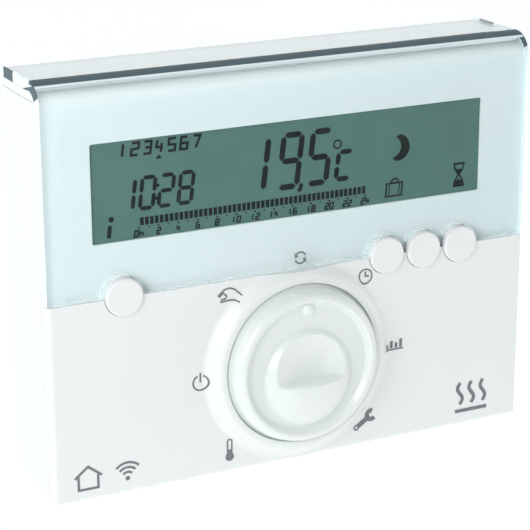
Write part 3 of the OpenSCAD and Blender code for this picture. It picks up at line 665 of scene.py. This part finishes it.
def day_and_time(sheet):
    """The days as numbers with a pointer under today's, and the time below them."""
    write(sheet, "1234567", *on_display(-48.1, 34.0), (1.8, 3.0), 3.22, 0.62)
    x, z = on_display(-37.7, 32.4)
    sheet.fill([(x - 0.9, z), (x + 0.9, z), (x, z + 0.95)])
    place_digits(sheet, "1028", (-48.25, -43.0, -38.1, -32.9), 20.5, (3.4, 7.65), 1.02)
    for dot_x, dot_z in ((-38.1, 25.8), (-38.55, 22.6)):
        sheet.disc(*on_display(dot_x, dot_z), 0.42)


def temperature(sheet):
    """Three large digits with a comma, and the unit."""
    place_digits(sheet, "195", (-15.0, -5.7, 2.5), 20.9, (5.1, 13.3), 1.5)
    place_digits(sheet, "c", (10.5,), 21.1, (4.0, 7.0), 1.3)
    x, z = on_display(0.75, 21.3)
    sheet.line([(x, z), (x - 0.15, z - 1.1), (x - 0.75, z - 2.0)], 1.05)
    sheet.ring(*on_display(10.95, 30.2), 1.05, 0.42)


TICKS = 48
TICK_HEIGHT = 1.95
TICK_SHARE = 0.7
SCALE_LENGTH = 62.8


def day_programme(sheet):
    """One tick for each half hour, a mark for each hour and a number for every second one."""
    x, z = on_display(-42.95, 16.35)
    pitch = SCALE_LENGTH / TICKS
    top = z + TICK_HEIGHT
    for i in range(TICKS):
        left, right = x + i * pitch, x + i * pitch + pitch * TICK_SHARE
        sheet.fill([(left, z), (right, z), (right, top), (left, top)])
    for hour in range(25):
        even = hour % 2 == 0
        middle = x + hour * 2 * pitch - 0.35
        sheet.disc(middle, z - 0.6, 0.26 if even else 0.2)
        if even:
            text = str(hour) if hour else "0h"
            write(sheet, text, middle - len(text) * 0.72 + 0.2, z - 2.7, (0.85, 1.45), 1.4, 0.38)


def information_mark(sheet):
    x, z = on_display(-51.15, 14.2)
    sheet.line([(x, z), (x + 0.4, z + 3.1)], 1.05)
    sheet.disc(*on_display(-50.4, 18.8), 0.68)


def moon(sheet):
    x, z = on_display(28.3, 27.25)
    outer = arc(x + 0.1, z + 0.05, 3.55, -95, 80, 26)
    inner = arc(x - 1.6, z + 0.3, 2.75, 65, -78, 18)
    sheet.fill(outer + inner + [(x - 1.2, z - 2.85)])


def suitcase(sheet):
    x, z = on_display(27.55, 16.35)
    lean = 0.08
    box = [(-2.35, -1.75), (2.35, -1.75), (2.35, 1.65), (-2.35, 1.65)]
    sheet.line([(x + u + v * lean, z + v) for u, v in box], 0.42, closed=True)
    for u in (-1.45, 1.45):
        sheet.line([(x + u - 1.6 * lean, z - 1.6), (x + u + 1.5 * lean, z + 1.5)], 0.26)
    sheet.line(arc(x + 0.2, z + 1.85, 1.0, 0, 180, 12), 0.42)


def hourglass(sheet):
    x, z = on_display(46.95, 17.85)
    side = [(1.4, 2.8), (1.2, 1.6), (0.1, 0.0)]
    for up in (-1, 1):
        sheet.line([(x - 1.65, z + up * 3.0), (x + 1.75, z + up * 3.0)], 0.6)
        for way in (-1, 1):
            sheet.line([(x + way * u, z + up * v) for u, v in side], 0.45)
    falling = [(-1.1, 1.55), (0, -0.1), (1.1, 1.55)]
    fallen = [(-1.4, -2.9), (1.4, -2.9), (1.15, -1.8), (0, -1.1), (-1.15, -1.8)]
    for sand in (falling, fallen):
        sheet.fill([(x + u, z + v) for u, v in sand])


def display_content():
    """All that the display shows, as one thin piece in front of its film."""
    sheet = Print(lambda x, z: DISPLAY.front)
    contents = (day_and_time, temperature, day_programme, information_mark, moon, suitcase, hourglass)
    for draw in contents:
        draw(sheet)
    segment_ink = ink("display_segment", colour(6, 12, 13), 0.5)
    sheet.finish("display_segments", segment_ink, "case")


# ---- Printed symbols on the front ----

COLLAR_CROWN = 22.6
COLLAR_FOOT = 27.2
COLLAR_HEIGHT = SHELL.front - FACE
COLLAR_STEPS = 10


def front_depth(x, z):
    """Depth of the front surface, which rises to the collar round the knob."""
    radius = math.hypot(x - KNOB.x, z - KNOB.z)
    if radius >= COLLAR_FOOT or z > COVER.z0:
        return FACE
    step = max(0, (radius - COLLAR_CROWN) / (COLLAR_FOOT - COLLAR_CROWN)) * COLLAR_STEPS
    whole = int(step)
    inner, outer = (0.5 + 0.5 * math.cos(math.pi * n / COLLAR_STEPS) for n in (whole, whole + 1))
    return FACE + COLLAR_HEIGHT * (inner + (outer - inner) * (step - whole))


def hand_symbol(sheet, x, z):
    """A hand that turns something, drawn as an outline."""
    back = [(3.2, -0.45), (1.34, 1.3), (0.0, 1.8), (-1.5, 1.5), (-3.1, 0.15), (-2.8, -0.15)]
    finger = [(-1.8, 0.7), (-0.8, -0.2)]
    thumb = [(-1.2, -0.85), (-2.2, -1.0), (-2.35, -1.6)]
    palm = [(-0.25, -1.4), (1.35, -1.5), (2.3, -2.0)]
    for points in (back + finger, finger[-1:] + thumb + palm):
        sheet.line([(x + u, z + v) for u, v in points], 0.42)


def cycle_symbol(sheet, x, z):
    """Two turning arrows: automatic."""
    radius, barb = 1.5, 0.8
    for start in (20, 200):
        neck, tip = start + 120, start + 165
        sheet.line(arc(x, z, radius, start, start + 125, 14), 0.46, step=UNCUT)
        barbs = [place_on(x, z, radius - barb, neck), place_on(x, z, radius + barb, neck)]
        sheet.fill(barbs + [place_on(x, z, radius, tip)])


def programme_symbol(sheet, x, z):
    """A small bar chart: the day's programme."""
    sheet.line([(x - 2.9, z), (x + 2.9, z)], 0.42)
    for column, height in ((-2.1, 1.1), (-0.7, 2.0), (0.7, 1.4), (2.1, 2.3)):
        sheet.line([(x + column, z + 0.4), (x + column, z + 0.4 + height)], 0.8)


def clock_symbol(sheet, x, z):
    """A dial with two hands: the clock's setting."""
    sheet.ring(x, z, 1.9, 0.4)
    sheet.line([(x, z + 1.35), (x, z), (x + 1.05, z)], 0.42)


def power_symbol(sheet, x, z):
    """A broken ring with an upright: off."""
    sheet.line(arc(x, z, 2.0, 112, 428, 30), 0.44, step=UNCUT)
    sheet.line([(x, z + 0.1), (x, z + 2.7)], 0.44)


def thermometer_symbol(sheet, x, z):
    """A bulb with its tube, half full: the temperature."""
    sheet.disc(x, z, 1.2)
    tube = [(x - 0.6, z + 0.6)] + arc(x, z + 4.2, 0.6, 180, 0, 10) + [(x + 0.6, z + 0.6)]
    sheet.line(tube, 0.4)
    sheet.line([(x, z + 0.6), (x, z + 2.0)], 1.1)


def wrench_symbol(sheet, x, z):
    """An open-ended spanner on a slant, from the eye of its handle."""
    turn = math.radians(34)

    def at(u, v):
        return x + u * math.cos(turn) - v * math.sin(turn), z + u * math.sin(turn) + v * math.cos(turn)

    sheet.line([at(0.5, 0), at(4.3, 0)], 1.4)
    sheet.line([at(u, v) for u, v in arc(0, 0, 0.62, 0, 340, 18)], 0.44, closed=True, step=UNCUT)
    sheet.line([at(u, v) for u, v in arc(5.3, 0, 1.25, 40, 285, 24)], 1.25, step=UNCUT)


def waves_symbol(sheet, x, z):
    """A dot with three arcs: wireless."""
    sheet.disc(x, z, 0.6)
    for radius in (1.7, 3.0, 4.3):
        sheet.line(arc(x, z, radius, 45, 135, 14), 0.6, step=UNCUT)


def house_symbol(sheet, x, z):
    """A plain house outline."""
    sheet.line([(x - 3.6, z + 3.2), (x, z + 6.0), (x + 3.6, z + 3.2)], 0.62)
    sheet.line([(x - 2.6, z + 3.6), (x - 2.6, z), (x + 2.6, z), (x + 2.6, z + 3.6)], 0.62)


def heat_symbol(sheet, x, z):
    """Three rising waves over a bar: heating."""
    angles = range(0, 390, 30)
    for column in (-3.6, 0, 3.6):
        swing = [0.8 * math.sin(math.radians(angle)) for angle in angles]
        sheet.line([(x + column + u, z + 1.9 + i * 0.52) for i, u in enumerate(swing)], 1.0)
    sheet.line([(x - 5.0, z), (x + 5.0, z)], 1.0)


def printed_symbols():
    """The symbols round the knob, placed from its centre, and those in the lower corners."""
    sheet = Print(front_depth)
    round_knob = ((hand_symbol, -19.35, 20.75), (clock_symbol, 19.44, 19.75),
                  (power_symbol, -27.7, -1.4), (thermometer_symbol, -19.75, -23.2),
                  (wrench_symbol, 17.35, -22.3), (cycle_symbol, 0.5, 27.6),
                  (programme_symbol, 28.3, -1.9))
    for draw, across, up in round_knob:
        draw(sheet, KNOB.x + across, KNOB.z + up)
    house_symbol(sheet, CASE.x0 + 9.0, CASE.z0 + 3.2)
    waves_symbol(sheet, CASE.x0 + 19.5, CASE.z0 + 4.0)
    heat_symbol(sheet, CASE.x1 - 14.5, CASE.z0 + 4.0)
    legend_ink = ink("legend_ink", colour(112, 118, 120), 0.55)
    sheet.finish("front_symbols", legend_ink, "case")


display_content()
printed_symbols()


# ---- Knob ----

KNOB_R = (KNOB.x1 - KNOB.x0) / 2
GRIP = 4.3
GRIP_HALF_WIDTH, GRIP_HALF_HEIGHT = 12.2, 13.2
GRIP_DROP = 3.0
HOLLOW_HALF_WIDTH, HOLLOW_HALF_HEIGHT = 9.8, 8.6
HOLLOW_RISE = 2.5
HOLLOW_FLOOR = 0.35
HOLLOW_STEEPNESS = 1.5
RIDGE_BOTTOM, RIDGE_TOP = -3.9, -2.5
DISH = 1.5
DISH_SLOPE = 1.7
DISH_DEPTH = KNOB.front - GRIP
RIM_DEPTH = DISH_DEPTH + DISH
RIM = 18.2
SHOULDER_R = 20.7
SHOULDER = FACE + 2.9
SHOULDER_STEPS = 16
BULGE = 0.2
DOT_Z = 15.5
DOT_R = 1.5
DOT_HEIGHT = 1.05
HUB_R = 5.2
HUB_BACK = FACE - 2.2
BORE_R = 3.05
BORE_END = DISH_DEPTH - 0.9
WALL = 1.8
SECTORS = 256
RINGS = 96


def smooth(value, start, end):
    """0 at start and 1 at end, with a soft start and stop."""
    t = min(1, max(0, (value - start) / (end - start)))
    return t * t * (3 - 2 * t)


def grip_height(x, z):
    """Height of the finger grip above the dish: a pillow with a hollow above its straight ridge."""
    reach = math.hypot(x / GRIP_HALF_WIDTH, (z + GRIP_DROP) / GRIP_HALF_HEIGHT)
    if reach >= 1:
        return 0
    dome = GRIP * (1 - reach ** 2.4) ** 0.75
    bowl = (x / HOLLOW_HALF_WIDTH) ** 2 + ((z - HOLLOW_RISE) / HOLLOW_HALF_HEIGHT) ** 2
    hollow = HOLLOW_FLOOR + HOLLOW_STEEPNESS * bowl
    cut = smooth(z, RIDGE_BOTTOM, RIDGE_TOP)
    return dome + (min(dome, hollow) - dome) * cut


def knob_depth(radius, x, z):
    """Depth of the knob's front inside the rim."""
    slope = min(1, (RIM - radius) / DISH_SLOPE)
    dish = DISH * (0.5 + 0.5 * math.cos(math.pi * slope))
    nub = DOT_HEIGHT * math.sqrt(max(0, 1 - (math.hypot(x, z - DOT_Z) / DOT_R) ** 2))
    return DISH_DEPTH + dish + grip_height(x, z) + nub


def knob_profile():
    """Radius and depth of each ring, from the shaft's bore over the skirt to the front's middle. The
    rings inside the rim have no depth of their own, because the front isn't round."""
    profile = [(BORE_R, BORE_END), (BORE_R, HUB_BACK), (HUB_R, HUB_BACK), (HUB_R, DISH_DEPTH - WALL),
               (RIM - WALL, DISH_DEPTH - WALL), (KNOB_R - WALL, SHOULDER - 1.4),
               (KNOB_R - WALL, KNOB.back), (KNOB_R, KNOB.back), (KNOB_R, FACE),
               (KNOB_R + BULGE, FACE + 2.3)]
    for i in range(SHOULDER_STEPS + 1):
        a = math.radians(90 * i / SHOULDER_STEPS)
        radius = RIM + (SHOULDER_R - RIM) * math.cos(a)
        profile.append((radius, SHOULDER + (RIM_DEPTH - SHOULDER) * math.sin(a)))
    return profile + [(RIM * (1 - i / RINGS), None) for i in range(1, RINGS)]


def knob_ring(mesh, radius, depth):
    """One ring of the knob's vertices."""
    ring = []
    for k in range(SECTORS):
        a = 2 * math.pi * k / SECTORS
        x, z = radius * math.sin(a), radius * math.cos(a)
        y = knob_depth(radius, x, z) if depth is None else depth
        ring.append(mesh.verts.new(((KNOB.x + x) * MM, -y * MM, (KNOB.z + z) * MM)))
    return ring


def selector_knob():
    """The knob as one turned mesh, whose front follows the grip."""
    mesh = bmesh.new()
    rings = [knob_ring(mesh, radius, depth) for radius, depth in knob_profile()]
    for first, second in zip(rings, rings[1:]):
        for k in range(SECTORS):
            n = (k + 1) % SECTORS
            mesh.faces.new((first[k], first[n], second[n], second[k]))
    for ring, depth in ((rings[-1], knob_depth(0, 0, 0)), (rings[0], BORE_END)):
        tip = mesh.verts.new((KNOB.x * MM, -depth * MM, KNOB.z * MM))
        for k in range(SECTORS):
            mesh.faces.new((ring[k], ring[(k + 1) % SECTORS], tip))
    bmesh.ops.recalc_face_normals(mesh, faces=mesh.faces)
    for face in mesh.faces:
        face.smooth = True
    knob = new_object("knob_moulding", mesh, knob_white_with_painted_shade, "knob")
    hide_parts("selector_knob")


selector_knob()


# ---- Floor, light and camera ----


def stage_sheet(name, size, place, material, turn=(0, 0, 0)):
    """A flat sheet of the studio, which isn't part of the object."""
    mesh = bmesh.new()
    bmesh.ops.create_grid(mesh, x_segments=8, y_segments=8, size=0.5)
    bmesh.ops.scale(mesh, vec=(size[0], size[1], 1), verts=mesh.verts)
    data = bpy.data.meshes.new(name)
    mesh.to_mesh(data)
    mesh.free()
    data.materials.append(material)
    sheet = bpy.data.objects.new(name, data)
    sheet.location = place
    sheet.rotation_euler = turn
    bpy.context.scene.collection.objects.link(sheet)
    return sheet


FLOOR_SIZE = 12
FLOOR_Z = -0.3
CARD_SIZE = (0.36, 0.26)
CARD_PLACE = (0.3, -0.6, -0.165)


def plain_floor():
    """A pale floor with a faint glow, so that it shows as white."""
    m = Nodes("pale_floor", Roughness=0.8, Emission_Color=(1, 1, 1, 1), Emission_Strength=0.3)
    clouds = m.between(m.noise(300), 0, 1)
    m.set("Base Color", m.mix(clouds, (0.97, 0.975, 0.975, 1), (0.955, 0.96, 0.96, 1)))
    m.bump(m.noise(20), 0.05, 0.2)
    stage_sheet("floor", (FLOOR_SIZE, FLOOR_SIZE), (0, 0, FLOOR_Z), m.material)


def dark_card():
    """A dark card in front and to the right, whose reflection keeps the display easy to read."""
    m = Nodes("card_felt", Roughness=0.9)
    fibres = m.between(m.noise(5), 0, 1)
    m.set("Base Color", m.mix(fibres, (0.015, 0.018, 0.018, 1), (0.03, 0.034, 0.034, 1)))
    m.bump(m.noise(2), 0.2, 0.5)
    upright = (math.radians(90), 0, 0)
    card = stage_sheet("reflection_card", CARD_SIZE, CARD_PLACE, m.material, upright)
    card.visible_camera = False
    card.visible_diffuse = False
    card.visible_shadow = False


LIT_PLACE = Vector((0, -0.02, 0))


def softbox(name, place, size, power):
    """A square white lamp that points at the object."""
    light = bpy.data.lights.new(name, "AREA")
    light.shape = "SQUARE"
    light.size = size
    light.energy = power
    lamp = bpy.data.objects.new(name, light)
    lamp.location = place
    lamp.rotation_mode = "QUATERNION"
    lamp.rotation_quaternion = (LIT_PLACE - Vector(place)).to_track_quat("-Z", "Y")
    bpy.context.scene.collection.objects.link(lamp)


# Where the studio is darker: the direction, how far towards it the change starts (as a cosine), and
# the strength of the light that comes from there.
DIMMER_SIDES = (((0.45, -0.86, -0.22), -0.1, 0.5), ((0, 0, 1), 0.0, 0.7))


def white_surround():
    """A bright studio that is a little darker in front of the object and above it."""
    world = bpy.data.worlds.new("studio")
    bpy.context.scene.world = world
    world.use_nodes = True
    tree = world.node_tree
    where = tree.nodes.new("ShaderNodeTexCoord").outputs["Generated"]
    product = tree.nodes.new("ShaderNodeMath")
    product.operation = "MULTIPLY"
    for index, (towards, start, darkest) in enumerate(DIMMER_SIDES):
        dot = tree.nodes.new("ShaderNodeVectorMath")
        dot.operation = "DOT_PRODUCT"
        dot.inputs[1].default_value = Vector(towards).normalized()
        tree.links.new(where, dot.inputs[0])
        ramp = tree.nodes.new("ShaderNodeMapRange")
        ramp.interpolation_type = "SMOOTHSTEP"
        limits = {"From Min": start, "From Max": 1.0, "To Min": 1.0, "To Max": darkest}
        for key, value in limits.items():
            ramp.inputs[key].default_value = value
        tree.links.new(dot.outputs["Value"], ramp.inputs["Value"])
        tree.links.new(ramp.outputs["Result"], product.inputs[index])
    background = tree.nodes["Background"]
    background.inputs["Color"].default_value = (0.975, 0.995, 1.0, 1)
    tree.links.new(product.outputs[0], background.inputs["Strength"])


CAMERA_PLACE = (-0.20818, -0.43124, 0.14966)
CAMERA_LENS = 128.3
CAMERA_YAW, CAMERA_PITCH, CAMERA_ROLL = 26.179, 18.228, -0.183


def photographer():
    """Camera to the left of the object and a little above it."""
    yaw, pitch, roll = (math.radians(v) for v in (CAMERA_YAW, CAMERA_PITCH, CAMERA_ROLL))
    level = math.cos(pitch)
    ahead = Vector((math.sin(yaw) * level, math.cos(yaw) * level, -math.sin(pitch)))
    right = Vector((math.cos(yaw), -math.sin(yaw), 0))
    up = right.cross(ahead)
    side = right * math.cos(roll) + up * math.sin(roll)
    top = up * math.cos(roll) - right * math.sin(roll)
    camera_data = bpy.data.cameras.new("camera")
    camera_data.lens = CAMERA_LENS
    camera_data.clip_start = 0.01
    camera_data.clip_end = 50
    camera = bpy.data.objects.new("camera", camera_data)
    turn = Matrix((side, top, -ahead)).transposed().to_4x4()
    camera.matrix_world = Matrix.Translation(CAMERA_PLACE) @ turn
    bpy.context.scene.collection.objects.link(camera)
    bpy.context.scene.camera = camera


plain_floor()
dark_card()
white_surround()
softbox("key_light", (-0.45, -0.35, 0.2), 0.3, 1.3)
softbox("side_light", (0.7, -0.2, 0.05), 0.4, 0.6)
photographer()
bpy.context.scene.view_settings.view_transform = "Standard"
